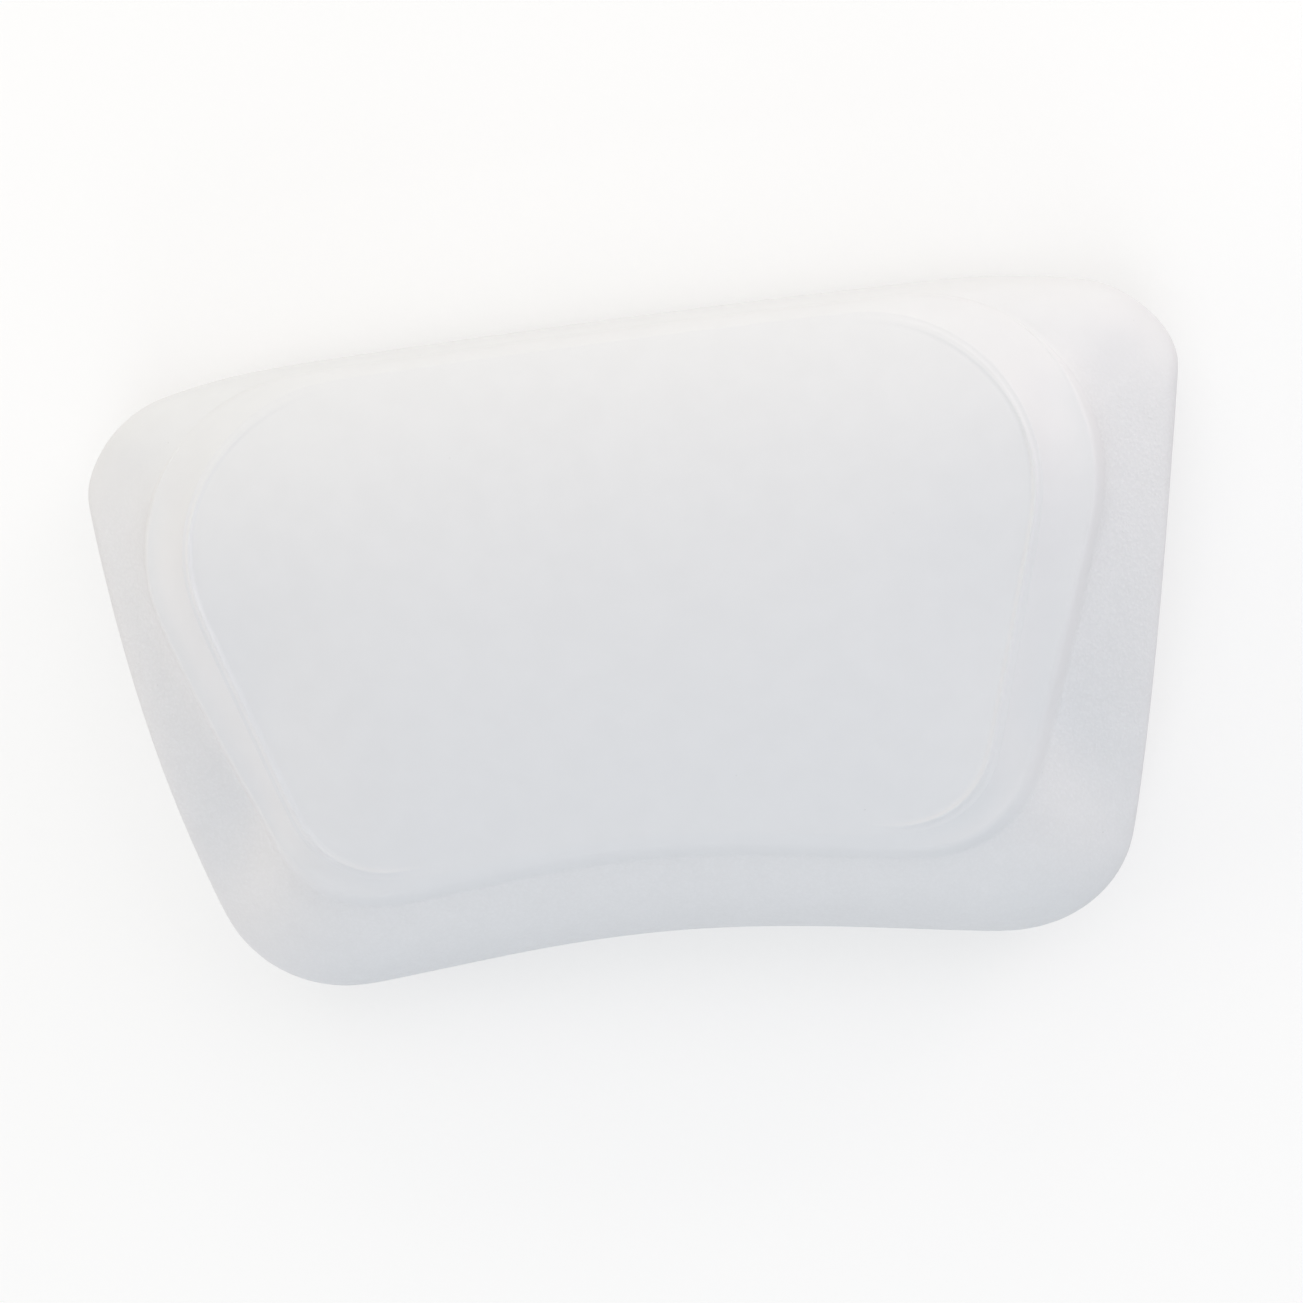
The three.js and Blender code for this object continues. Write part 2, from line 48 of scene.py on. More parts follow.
def linear(hex_colour):
    """An sRGB hex colour as linear RGBA."""
    channels = [int(hex_colour[i:i + 2], 16) / 255 for i in (1, 3, 5)]
    return [c / 12.92 if c <= 0.04045 else ((c + 0.055) / 1.055) ** 2.4 for c in channels] + [1]


def mix(a, b, share):
    """From a at share 0 to b at share 1."""
    return a + (b - a) * share


def smoothstep(x, low, high):
    """From 0 at low to 1 at high and level at both: 3 t^2 - 2 t^3, t being the share of the way."""
    t = np.clip((x - low) / (high - low), 0, 1)
    return t * t * (3 - 2 * t)


# Camera

CAMERA_YAW = math.radians(9.75)
CAMERA_PITCH = math.radians(4.81)
CAMERA_ROLL = math.radians(6.93)
CAMERA_DISTANCE = 650
CLIP_START = 10
FOCAL_PIXELS = 2248
IMAGE_PIXELS = 1303
SENSOR_WIDTH = 36
AIM = (0, 7.51, 5)
AIM_SHIFT = (-1.4, 11.4)


def make_camera():
    """A camera that looks at the front from a little to the right and above.

    It is rolled, so that the pillow leans to the left."""
    back = Vector((math.sin(CAMERA_YAW) * math.cos(CAMERA_PITCH), math.sin(CAMERA_PITCH),
                   math.cos(CAMERA_YAW) * math.cos(CAMERA_PITCH)))
    level = Vector((math.cos(CAMERA_YAW), 0, -math.sin(CAMERA_YAW)))
    rise = back.cross(level)
    right = level * math.cos(CAMERA_ROLL) - rise * math.sin(CAMERA_ROLL)
    up = level * math.sin(CAMERA_ROLL) + rise * math.cos(CAMERA_ROLL)
    place = Vector(AIM) + back * CAMERA_DISTANCE - right * AIM_SHIFT[0] - up * AIM_SHIFT[1]
    data = bpy.data.cameras.new("camera")
    data.sensor_width = SENSOR_WIDTH
    data.lens = FOCAL_PIXELS / IMAGE_PIXELS * SENSOR_WIDTH
    data.clip_start = CLIP_START * MM
    camera = bpy.data.objects.new("camera", data)
    axes = Matrix((right, up, back)).transposed().to_4x4()
    camera.matrix_world = Matrix.Translation(place * MM) @ axes
    bpy.context.scene.collection.objects.link(camera)
    bpy.context.scene.camera = camera


make_camera()


# Meshes

def mesh_object(name, points, faces, smooth=True):
    """A mesh from points in metres and faces, as an object at the origin."""
    mesh = bpy.data.meshes.new(name)
    mesh.from_pydata(points.tolist(), [], faces)
    mesh.update()
    mesh.polygons.foreach_set("use_smooth", [smooth] * len(mesh.polygons))
    piece = bpy.data.objects.new(name, mesh)
    bpy.context.scene.collection.objects.link(piece)
    return piece


def grid_faces(rows, around):
    """Quads between neighbouring rows of a grid of rows x around points that closes on itself around."""
    r, i = np.meshgrid(np.arange(rows - 1), np.arange(around), indexing="ij")
    j = (i + 1) % around
    corners = [r * around + i, (r + 1) * around + i, (r + 1) * around + j, r * around + j]
    return np.stack(corners, -1).reshape(-1, 4)


def closed_grid(name, rows, first, last, flip=False):
    """A closed surface through rows of points, each row a ring, with a fan to a pole at either end.

    With flip all faces are turned round, for rows that run the other way."""
    count, around = rows.shape[:2]
    points = rows.reshape(-1, 3)
    quads = grid_faces(count, around)
    faces = (quads[:, ::-1] if flip else quads).tolist()
    i = np.arange(around)
    j = (i + 1) % around
    for pole, row, turned in ((first, 0, flip), (last, count - 1, not flip)):
        fan = np.stack([np.full(around, len(points)), row * around + i, row * around + j], -1)
        faces += (fan[:, ::-1] if turned else fan).tolist()
        points = np.vstack([points, pole])
    return mesh_object(name, points, faces)


# Cushion outline, seen from the front. Half widths and reaches run to the sharp corners.

HALF_WIDTH_TOP = 158.1
HALF_WIDTH_BOTTOM = 123.4
REACH_UP = 92.6
REACH_DOWN = 93.7
CROWN = 2.9
SHOULDER_WIDTH = 61.4
BULGE_POWER = 6

# The rounded trapezoids that shape it: the outline, the raised panel's edge and the bead's middle line.
OUTLINE = dict(half_top=HALF_WIDTH_TOP, half_bottom=HALF_WIDTH_BOTTOM, top=REACH_UP, bottom=-REACH_DOWN,
               top_radius=21.5, bottom_radius=40, hollow=15.8, spread=99.5, shoulder=11.2, bulge=1.7)
PANEL = dict(half_top=149.8, half_bottom=98.7, top=88.3, bottom=-62.9,
             top_radius=46.7, bottom_radius=39, hollow=11.9, spread=75)
BEAD = dict(half_top=127.6, half_bottom=88.7, top=82.5, bottom=-52.9,
            top_radius=42, bottom_radius=29.5, hollow=10.9, spread=68)

# Steps round half a ring, from the middle of the top edge to the middle of the bottom edge.
TOP_LINE = 56
TOP_CORNER = 60
SIDE_LINE = 40
BOTTOM_CORNER = 48
BOTTOM_LINE = 36

# The running mean round a ring: its width and how far it reaches to either side, in steps.
SMOOTHING = 3
SMOOTHING_REACH = 12


def fillet(before, corner, after, radius, steps):
    """The arc of one radius that rounds off a corner, from the line before it to the line after it."""
    to_before = (before - corner) / np.linalg.norm(before - corner)
    to_after = (after - corner) / np.linalg.norm(after - corner)
    half = math.acos(to_before @ to_after) / 2
    start = corner + to_before * radius / math.tan(half)
    end = corner + to_after * radius / math.tan(half)
    bisector = (to_before + to_after) / np.linalg.norm(to_before + to_after)
    centre = corner + bisector * radius / math.sin(half)
    first = math.atan2(*(start - centre)[::-1])
    last = math.atan2(*(end - centre)[::-1])
    sweep = (first - last) % (2 * math.pi)
    angles = first - sweep * np.linspace(0, 1, steps + 1)
    return centre + radius * np.stack([np.cos(angles), np.sin(angles)], -1)


def line(start, end, steps):
    """Points from start to end in even steps."""
    return start + (end - start) * np.linspace(0, 1, steps + 1)[:, None]


def smooth_ring(points):
    """A running Gaussian mean round the ring, which eases the places where lines meet arcs."""
    offsets = np.arange(-SMOOTHING_REACH, SMOOTHING_REACH + 1)
    weights = np.exp(-0.5 * (offsets / SMOOTHING) ** 2)
    weights /= weights.sum()
    return sum(w * np.roll(points, -o, axis=0) for w, o in zip(weights, offsets))


def ring(half_top, half_bottom, top, bottom, top_radius, bottom_radius, hollow, spread,
         shoulder=0, bulge=0, inset=0):
    """A rounded trapezoid, clockwise from the middle of its top edge.

    Its top edge is lifted by CROWN * (y / top)^2 * (1 - (x / HALF_WIDTH_TOP)^2), and falls towards the
    corners by shoulder * (y / top)^2 times the square of the share of SHOULDER_WIDTH that is passed.
    Its bottom edge is lifted by hollow * (y / bottom)^2 * exp(-(x / spread)^2). Its sides are pushed out
    by bulge times a parabola that is 1 half way up, and a power of x that is 1 on the side."""
    half_top, half_bottom, top, bottom = half_top - inset, half_bottom - inset, top - inset, bottom + inset
    corners = np.array([[0, top], [half_top, top], [half_bottom, bottom], [0, bottom]], float)
    upper = fillet(corners[0], corners[1], corners[2], top_radius - inset, TOP_CORNER)
    lower = fillet(corners[1], corners[2], corners[3], bottom_radius - inset, BOTTOM_CORNER)
    half = np.concatenate([
        line(corners[0], upper[0], TOP_LINE),
        upper[1:],
        line(upper[-1], lower[0], SIDE_LINE)[1:],
        lower[1:],
        line(lower[-1], corners[3], BOTTOM_LINE)[1:],
    ])
    x, y = half.T
    crown = CROWN * np.clip(y / top, 0, None) ** 2 * (1 - (x / HALF_WIDTH_TOP) ** 2)
    past = np.clip(1 - (HALF_WIDTH_TOP - x) / SHOULDER_WIDTH, 0, None)
    fall = shoulder * np.clip(y / top, 0, None) ** 2 * past ** 2
    lift = hollow * np.clip(y / bottom, 0, None) ** 2 * np.exp(-(x / spread) ** 2)
    up = (y - bottom) / (top - bottom)
    side = np.clip(x / mix(half_bottom, half_top, up), None, 1) ** BULGE_POWER
    half = np.stack([x + bulge * 4 * up * (1 - up) * side, y + crown - fall + lift], -1)
    other = half[-2:0:-1] * [-1, 1]
    return smooth_ring(np.concatenate([half, other]))


# Cushion front, with heights over the plane that the suction cups rest on.

BACK_HEIGHT = 5
WIDEST_HEIGHT = 37.9
WIDEST_FALL = 24
CREST_HEIGHT = 66.9
CREST_FROM_TOP = 69.6
CREST_FALL_UP = 15.7
CREST_FALL_DOWN = 12.2
CREST_ROLL_SHARE = 0.28
SIDE_FALL = 9

# Two soft dips inside the bead, one at each side of the head rest.
SIDE_DIP = 3.5
SIDE_DIP_X = 102
SIDE_DIP_Y = -2
SIDE_DIP_HALF_WIDTH = 22
SIDE_DIP_HALF_HEIGHT = 34

# The dish: it deepens on the way out to the bead, and runs out by shares of the bead's reach up.
DISH_DEPTH = 0.6
DISH_OUT_SHARES = (0.4, 1)
DISH_UP_SHARES = (0.3, 0.85)
DISH_DOWN_SHARES = (0.3, 0.6)
DISH_PAST_BEAD_SHARE = 0.9

# The bead: narrow and round at the sides, wider and flatter at the upper corners.
BEAD_HEIGHT = 0.65
BEAD_HALF_ZONE = 2.1
BEAD_HALF_WIDTH = 0.75
BEAD_HALF_WIDTH_CORNER = 1.25
BEAD_POWER = 2
BEAD_POWER_CORNER = 4
BEAD_CORNER_SHARES = (0.55, 0.75)

# Where the bead is lower on its way up, and where it runs out over the top and along the bottom.
BEAD_LOWER_SHARE = 0.35
BEAD_LOWERS_SHARES = (0.5, 0.8)
BEAD_TOP_UP_SHARES = (0.8, 0.98)
BEAD_TOP_OUT_SHARES = (0.5, 0.85)
BEAD_BOTTOM_DOWN = (22, 38)
BEAD_BOTTOM_OUT = (58, 80)

# The band round the bead, the step below it, which fades out over the top, and the tuck under the flange.
BAND_DROP_SIDES = 7.5
BAND_DROP_BOTTOM = 0.6
EDGE_INSET = 2.8
FOOT_OUTSET = 1.4
STEP_HEIGHT_SIDES = 7.9
STEP_HEIGHT_BOTTOM = 3.7
STEP_FADE_UP = (35, 88)
TUCK_SHARE = 0.5

# Places on the panel's edge, by how far up, down or out from the middle each begins and is complete.
# The bottom one ends along BOTTOM_OUT.
TOP_UP = (55, 84)
CORNER_OUT = (85, 120)
BOTTOM_DOWN = (20, 45)
BOTTOM_OUT = (60, 95)
UNDERSIDE_DOWN = (25, 60)

# Both middle points of each cubic curve, as shares of its way outwards or down.
# Each point's shares are those at the sides, and at the places named after them.
BAND_OUT_SHARES = ((0.3, 0.55, 0.4), (0.66, 1, 0.78))  # top, upper corners
BAND_DOWN_SHARES = ((0.52, 0.2, 0.3, 0.3), (0.95, 0.62, 0.55, 0.68))  # bottom, top, upper corners
STEP_OUT_SHARES = (0.5, 0.6)
STEP_DOWN_SHARES = ((0.1, 0.35), (0.75, 0.65))  # bottom
FLANGE_OUT_SHARES = ((0.25, 0.42, 0.6), (1, 1, 1))  # underside, top
FLANGE_DOWN_SHARES = ((0.34, 0.16, 0.24), (0.48, 0.4, 0.46))  # underside, top

# The flange's grain begins part way down the step.
GRAIN_STARTS_SHARES = (0.5, 1)

# Rows of points from the middle of the front to the middle of the back.
HEAD_ROWS = 44
BEAD_ROWS = 41
BAND_ROWS = 24
STEP_ROWS = 26
FLANGE_ROWS = 36
TUCK_ROWS = 18
BACK_ROWS = 9


def face_height(xy):
    """Height of the head rest: it falls with the square of y from a crest line and the fourth power of x.

    Above the crest line it falls faster, by CREST_ROLL_SHARE times the fourth power of y."""
    x, y = xy[..., 0], xy[..., 1]
    along_y = (y - (REACH_UP - CREST_FROM_TOP)) / CREST_FROM_TOP
    along_x = x / HALF_WIDTH_TOP
    roll = 1 + CREST_ROLL_SHARE * np.clip(along_y, 0, None) ** 2
    fall = np.where(along_y > 0, CREST_FALL_UP * roll, CREST_FALL_DOWN)
    return CREST_HEIGHT - fall * along_y ** 2 - SIDE_FALL * along_x ** 4


def dipped_height(xy):
    """The face height less SIDE_DIP * exp(-a^2 - b^2) at each side.

    a and b are the distances across and along from the dip's middle, as shares of its half sizes."""
    x, y = np.abs(xy[..., 0]), xy[..., 1]
    across = (x - SIDE_DIP_X) / SIDE_DIP_HALF_WIDTH
    along = (y - SIDE_DIP_Y) / SIDE_DIP_HALF_HEIGHT
    return face_height(xy) - SIDE_DIP * np.exp(-across ** 2 - along ** 2)


def widest_height(xy):
    """Height of the widest line: highest at y = 0, it falls by WIDEST_FALL * (y / REACH_UP)^2."""
    return WIDEST_HEIGHT - WIDEST_FALL * (xy[:, 1] / REACH_UP) ** 2


def cubic(t, first, second):
    """A cubic curve from 0 to 1, by its two middle points: 3 s^2 t a + 3 s t^2 b + t^3, s being 1 - t."""
    s = 1 - t
    return 3 * s * s * t * first + 3 * s * t * t * second + t ** 3


def head_rows(inner, dish):
    """Head rest: scaled-down copies of the bead zone's inner edge, at the dipped height less the dish."""
    for s in np.linspace(1 / HEAD_ROWS, 1, HEAD_ROWS, endpoint=False):
        xy = inner * s
        yield xy, dipped_height(xy) - dish * smoothstep(s, *DISH_OUT_SHARES)


def bead_rows(inner, outer, dish):
    """Bead: a ridge of height * exp(-|d / half width|^power), d being the distance from its middle line."""
    up = inner[:, 1] / BEAD["top"]
    out = np.clip(np.abs(inner[:, 0]) / BEAD["half_top"], 0, 1)
    at_corner = smoothstep(np.clip(up, 0, 1) * out, *BEAD_CORNER_SHARES)
    over_top = smoothstep(up, *BEAD_TOP_UP_SHARES) * (1 - smoothstep(out, *BEAD_TOP_OUT_SHARES))
    along_bottom = (smoothstep(-inner[:, 1], *BEAD_BOTTOM_DOWN)
                    * (1 - smoothstep(np.abs(inner[:, 0]), *BEAD_BOTTOM_OUT)))
    lowered = mix(1, BEAD_LOWER_SHARE, smoothstep(up, *BEAD_LOWERS_SHARES))
    height = BEAD_HEIGHT * ((1 - along_bottom) * (1 - over_top) * lowered)
    half_width = mix(BEAD_HALF_WIDTH, BEAD_HALF_WIDTH_CORNER, at_corner)
    power = mix(BEAD_POWER, BEAD_POWER_CORNER, at_corner)
    for t in np.linspace(0, 1, BEAD_ROWS):
        xy = mix(inner, outer, t)
        d = (2 * t - 1) * BEAD_HALF_ZONE
        ridge = height * np.exp(-np.abs(d / half_width) ** power)
        yield xy, dipped_height(xy) - dish * mix(1, DISH_PAST_BEAD_SHARE, t) + ridge


def curved_rows(start, end, count, out, down):
    """Rows from one edge to the next, each edge a ring and its heights; the start's own row is left out.

    The way outwards and the way down follow two cubic curves, by their middle points out and down."""
    for t in np.linspace(0, 1, count + 1)[1:]:
        outwards = np.reshape(cubic(t, *out), (-1, 1))
        yield mix(start[0], end[0], outwards), mix(start[1], end[1], cubic(t, *down))


def tuck_rows(outline, widest, foot):
    """Tuck: a quarter of an ellipse from the outline inwards and down to the back."""
    for t in np.linspace(0, 1, TUCK_ROWS + 1)[1:]:
        inwards = TUCK_SHARE * (1 - math.cos(t * math.pi / 2))
        yield mix(outline, foot, inwards), mix(widest, BACK_HEIGHT, math.sin(t * math.pi / 2))


def back_rows(edge):
    """Back: scaled-down copies of its edge, all level."""
    for t in np.linspace(0, 1, BACK_ROWS + 1, endpoint=False)[1:]:
        yield edge * (1 - t), BACK_HEIGHT


def cushion_rows():
    """Rows of points from the middle of the front to the middle of the back, with the box's middle at y = 0.

    Band: from the bead to the panel's edge, which lies below the face. Step: an S curve, steepest at its
    middle, that runs out over the top. Flange: a curve that rolls over and meets the outline plumb.
    Also gives each row's share of grain, and how far the rows were moved down."""
    inner = ring(**BEAD, inset=BEAD_HALF_ZONE)
    outer = ring(**BEAD, inset=-BEAD_HALF_ZONE)
    panel = ring(**PANEL)
    outline = ring(**OUTLINE)

    x, y = np.abs(panel[:, 0]), panel[:, 1]
    over_top = smoothstep(y, *TOP_UP)
    over_corner = over_top * smoothstep(x, *CORNER_OUT)
    along_bottom = smoothstep(-y, *BOTTOM_DOWN) * (1 - smoothstep(x, *BOTTOM_OUT))
    under = mix(smoothstep(-y, *UNDERSIDE_DOWN), 1, along_bottom)

    up = inner[:, 1] / BEAD["top"]
    dish = DISH_DEPTH * (1 - smoothstep(up, *DISH_UP_SHARES)) * (1 - smoothstep(-up, *DISH_DOWN_SHARES))
    outer_z = dipped_height(outer) - dish * DISH_PAST_BEAD_SHARE
    edge = mix(ring(**PANEL, inset=EDGE_INSET), panel, over_top[:, None])
    edge_z = face_height(edge) - mix(BAND_DROP_SIDES, BAND_DROP_BOTTOM, under)
    foot = mix(ring(**PANEL, inset=-FOOT_OUTSET), panel, over_top[:, None])
    foot_z = edge_z - mix(STEP_HEIGHT_SIDES, STEP_HEIGHT_BOTTOM, under) * (1 - smoothstep(y, *STEP_FADE_UP))
    widest = widest_height(outline)

    band_out = [mix(mix(side, top, over_top), corner, over_corner) for side, top, corner in BAND_OUT_SHARES]
    band_down = [mix(mix(side, bottom, along_bottom), mix(top, corner, over_corner), over_top)
                 for side, bottom, top, corner in BAND_DOWN_SHARES]
    step_down = [mix(side, bottom, along_bottom) for side, bottom in STEP_DOWN_SHARES]
    flange_out = [mix(mix(side, below, under), top, over_top) for side, below, top in FLANGE_OUT_SHARES]
    flange_down = [mix(mix(side, below, under), top, over_top) for side, below, top in FLANGE_DOWN_SHARES]

    rows = [
        *head_rows(inner, dish),
        *bead_rows(inner, outer, dish),
        *curved_rows((outer, outer_z), (edge, edge_z), BAND_ROWS, band_out, band_down),
        *curved_rows((edge, edge_z), (foot, foot_z), STEP_ROWS, STEP_OUT_SHARES, step_down),
        *curved_rows((foot, foot_z), (outline, widest), FLANGE_ROWS, flange_out, flange_down),
        *tuck_rows(outline, widest, foot),
        *back_rows(mix(outline, foot, TUCK_SHARE)),
    ]
    grain = np.concatenate([
        np.zeros(HEAD_ROWS + BEAD_ROWS + BAND_ROWS),
        smoothstep(np.linspace(0, 1, STEP_ROWS + 1)[1:], *GRAIN_STARTS_SHARES),
        np.ones(FLANGE_ROWS + TUCK_ROWS + BACK_ROWS),
    ])
    points = np.array([np.column_stack([xy, np.broadcast_to(z, len(xy))]) for xy, z in rows])
    shift = (outline[:, 1].max() + outline[:, 1].min()) / 2
    points[..., 1] -= shift
    return points, grain, shift


def make_cushion():
    """The cushion as one closed grid, with its share of grain as an attribute of its points."""
    rows, grain, shift = cushion_rows()
    front = np.array([0, -shift, face_height(np.zeros(2))])
    back = np.array([0, -shift, BACK_HEIGHT])
    piece = closed_grid("cushion_moulding", rows * MM, front * MM, back * MM)
    values = np.concatenate([np.repeat(grain, rows.shape[1]), [0, 1]]).astype(np.float32)
    piece.data.attributes.new("grain", "FLOAT", "POINT").data.foreach_set("value", values)
    return piece


# Pockets for the cups in the cushion's back. Each cup: its axis in x and y, and where its tab points.

CUPS = {
    "top_left": (-98, 46, math.pi),
    "top_right": (98, 46, 0),
    "bottom_left": (-72, -35, math.pi),
    "bottom_right": (72, -35, 0),
}
POCKET_RADIUS = 30.5
POCKET_TOP = 11.2
POCKET_LIP = 1.6
POCKET_OVERRUN = 2
POCKET_SIDES = 96
LIP_POINTS = 7


def pocket_cutter(x, y):
    """A round plug that cuts a pocket: a quarter circle of POCKET_LIP at its foot rounds the pocket's lip."""
    turn = np.linspace(0, math.pi / 2, LIP_POINTS)
    flare_r = POCKET_RADIUS + POCKET_LIP * (1 - np.sin(turn))
    flare_z = BACK_HEIGHT + POCKET_LIP * (1 - np.cos(turn))
    radii = np.concatenate([[POCKET_RADIUS + POCKET_LIP], flare_r, [POCKET_RADIUS]])
    heights = np.concatenate([[BACK_HEIGHT - POCKET_OVERRUN], flare_z, [POCKET_TOP]])
    angles = np.linspace(0, 2 * math.pi, POCKET_SIDES, endpoint=False)
    rows = np.stack([
        x + radii[:, None] * np.cos(angles),
        y + radii[:, None] * np.sin(angles),
        np.repeat(heights[:, None], POCKET_SIDES, axis=1),
    ], -1)
    low = np.array([x, y, heights[0]])
    high = np.array([x, y, heights[-1]])
    return closed_grid("pocket_cutter", rows * MM, low * MM, high * MM, flip=True)


def cut_pockets(piece):
    """Cuts the four pockets out of the cushion."""
    for x, y, _ in CUPS.values():
        cutter = pocket_cutter(x, y)
        cut = piece.modifiers.new("pocket", "BOOLEAN")
        cut.operation = "DIFFERENCE"
        cut.solver = "EXACT"
        cut.object = cutter
        with bpy.context.temp_override(object=piece, active_object=piece, selected_objects=[piece]):
            bpy.ops.object.modifier_apply(modifier=cut.name)
        bpy.data.objects.remove(cutter)


cushion = make_cushion()
cut_pockets(cushion)

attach(cushion, "pillow")
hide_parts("cushion")


# Suction cups, measured from their own axis, with the rim at height zero.

CUP_RIM = 23
CUP_CAVITY = 20
CUP_CAVITY_HEIGHT = 6.2
CUP_DOME_HEIGHT = 8.2
CUP_LIP = 0.8
CUP_SHOULDER = 6.2
CUP_SHOULDER_TOP = 9.7
CUP_NECK = 4
CUP_HEAD = 6.5
CUP_HEAD_BASE = 12.8
CUP_HEAD_HEIGHT = 3.6
CUP_HEAD_EDGE = 0.8
CUP_HEAD_FLAT = 4
CUP_EDGE = 0.3
CUP_DOME_GAP = 0.1
CUP_CAVITY_LAND = 0.2
CUP_SMALLEST_RING = 0.5
TAB_REACH = 6
TAB_HALF_WIDTH = 5
TAB_LIFT = 0.5
TAB_THICKNESS = 1.6
TAB_POWER = 4

# Points along the profile's arcs and curves, across the tab and round the rest of the cup.
HEAD_EDGE_POINTS = 8
EDGE_POINTS = 5
DOME_POINTS = 40
CAVITY_POINTS = 36
TAB_POINTS = 33
REST_POINTS = 90


def arc(centre_r, centre_z, radius, first, last, count=EDGE_POINTS):
    """Points of an arc in the plane of radius and height, from one angle in degrees to another."""
    angles = np.radians(np.linspace(first, last, count))
    return np.stack([centre_r + radius * np.cos(angles), centre_z + radius * np.sin(angles)], -1)


def quarter_wave(r, end, height):
    """Height over a radius: a cosine that falls from height at the axis to nothing at the radius end."""
    return height * np.cos(r / end * math.pi / 2)


def cup_profile():
    """Radius and height down the outside of a cup, from its head to its rim, and up the inside again.

    Given as the head with its neck and shoulder, the dome, the rim and the cavity. Dome and cavity are
    quarter cosine waves."""
    head_top = CUP_HEAD_BASE + CUP_HEAD_HEIGHT
    head = np.concatenate([
        [[CUP_SMALLEST_RING, head_top], [CUP_HEAD_FLAT, head_top]],
        arc(CUP_HEAD - CUP_HEAD_EDGE, head_top - CUP_HEAD_EDGE, CUP_HEAD_EDGE, 90, 0, HEAD_EDGE_POINTS),
        arc(CUP_HEAD - CUP_EDGE, CUP_HEAD_BASE + CUP_EDGE, CUP_EDGE, 0, -90),
        arc(CUP_NECK + CUP_EDGE, CUP_HEAD_BASE - CUP_EDGE, CUP_EDGE, 90, 180),
        arc(CUP_NECK + CUP_EDGE, CUP_SHOULDER_TOP + CUP_EDGE, CUP_EDGE, 180, 270),
        arc(CUP_SHOULDER - CUP_EDGE, CUP_SHOULDER_TOP - CUP_EDGE, CUP_EDGE, 90, 0),
    ])
    r = np.linspace(CUP_SHOULDER + CUP_DOME_GAP, CUP_RIM - CUP_EDGE, DOME_POINTS)
    dome = np.stack([r, CUP_LIP + quarter_wave(r, CUP_RIM, CUP_DOME_HEIGHT - CUP_LIP)], -1)
    rim = np.concatenate([
        arc(CUP_RIM - CUP_EDGE, CUP_LIP - CUP_EDGE, CUP_EDGE, 90, 0),
        arc(CUP_RIM - CUP_EDGE, CUP_EDGE, CUP_EDGE, 0, -90),
        [[CUP_CAVITY + CUP_CAVITY_LAND, 0]],
    ])
    r = np.linspace(CUP_CAVITY, CUP_SMALLEST_RING, CAVITY_POINTS)
    cavity = np.stack([r, quarter_wave(r, CUP_CAVITY, CUP_CAVITY_HEIGHT)], -1)
    return head, dome, rim, cavity


def cup_angles():
    """Angles round a cup: close together across the tab, which points to angle zero, and even elsewhere."""
    sector = math.asin(TAB_HALF_WIDTH / CUP_RIM)
    across = np.sin(np.linspace(-math.pi / 2, math.pi / 2, TAB_POINTS)) * TAB_HALF_WIDTH / CUP_RIM
    rest = np.linspace(sector, 2 * math.pi - sector, REST_POINTS)[1:-1]
    return np.concatenate([np.arcsin(across), rest])


def cup_rows():
    """Rows of a cup: a lathed profile, its rim drawn out into a finger tab.

    In the tab's sector a point of the rim moves outwards by TAB_REACH * p, p being (1 - v^4)^(1/4) and v
    its distance from the tab's middle line as a share of TAB_HALF_WIDTH. The rows that lead to the rim move
    by a growing share of that. Heights move to the tab's by the square root of p."""
    angles = cup_angles()
    v = np.clip(np.abs(CUP_RIM * np.sin(angles)) / TAB_HALF_WIDTH, 0, 1)
    in_sector = (np.cos(angles) > 0) & (v < 1)
    push = np.where(in_sector, (1 - v ** TAB_POWER) ** (1 / TAB_POWER), 0)

    head, dome, rim, cavity = cup_profile()
    tab_top = TAB_LIFT + TAB_THICKNESS
    first_row = len(head) + int(np.argmax(dome[:, 1] < tab_top))
    top_row = len(head) + len(dome) + EDGE_POINTS - 1
    last_row = top_row + EDGE_POINTS
    rows = []
    for k, (r, z) in enumerate(np.concatenate([head, dome, rim, cavity])):
        x = r * np.cos(angles)
        height = np.full_like(angles, z)
        if first_row <= k <= last_row:
            x = x + TAB_REACH * push * min(1, (k - first_row) / (top_row - first_row))
            tab_height = mix(tab_top, TAB_LIFT, np.clip((k - top_row) / (EDGE_POINTS - 1), 0, 1))
            height = mix(z, tab_height, np.sqrt(push))
        rows.append(np.stack([x, r * np.sin(angles), height], -1))
    return np.array(rows)


def make_cup(place, x, y, turn):
    """One suction cup, turned by an angle about its axis and set at x and y."""
    spin = np.array([[math.cos(turn), -math.sin(turn), 0], [math.sin(turn), math.cos(turn), 0], [0, 0, 1]])
    rows = cup_rows() @ spin.T + [x, y, 0]
    top = np.array([x, y, CUP_HEAD_BASE + CUP_HEAD_HEIGHT])
    bottom = np.array([x, y, CUP_CAVITY_HEIGHT])
    piece = closed_grid("suction_cup_" + place + "_moulding", rows * MM, top * MM, bottom * MM, flip=True)
    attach(piece, "cup_" + place)
    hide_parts("suction_cup_" + place)
    return piece


# Materials

def add_node(tree, kind, inputs=None, **settings):
    """Adds a node, sets its settings, and fills each input with a value or a link from a socket."""
    node = tree.nodes.new(kind)
    for name, value in settings.items():
        setattr(node, name, value)
    for name, value in (inputs or {}).items():
        if isinstance(value, bpy.types.NodeSocket):
            tree.links.new(value, node.inputs[name])
        else:
            node.inputs[name].default_value = value
    return node


def new_material(name):
    """A material with an empty node tree."""
    material = bpy.data.materials.new(name)
    material.use_nodes = True
    tree = material.node_tree
    tree.nodes.clear()
    return material, tree


def give(piece, material):
    """Gives a piece one material all over."""
    piece.data.materials.clear()
    piece.data.materials.append(material)


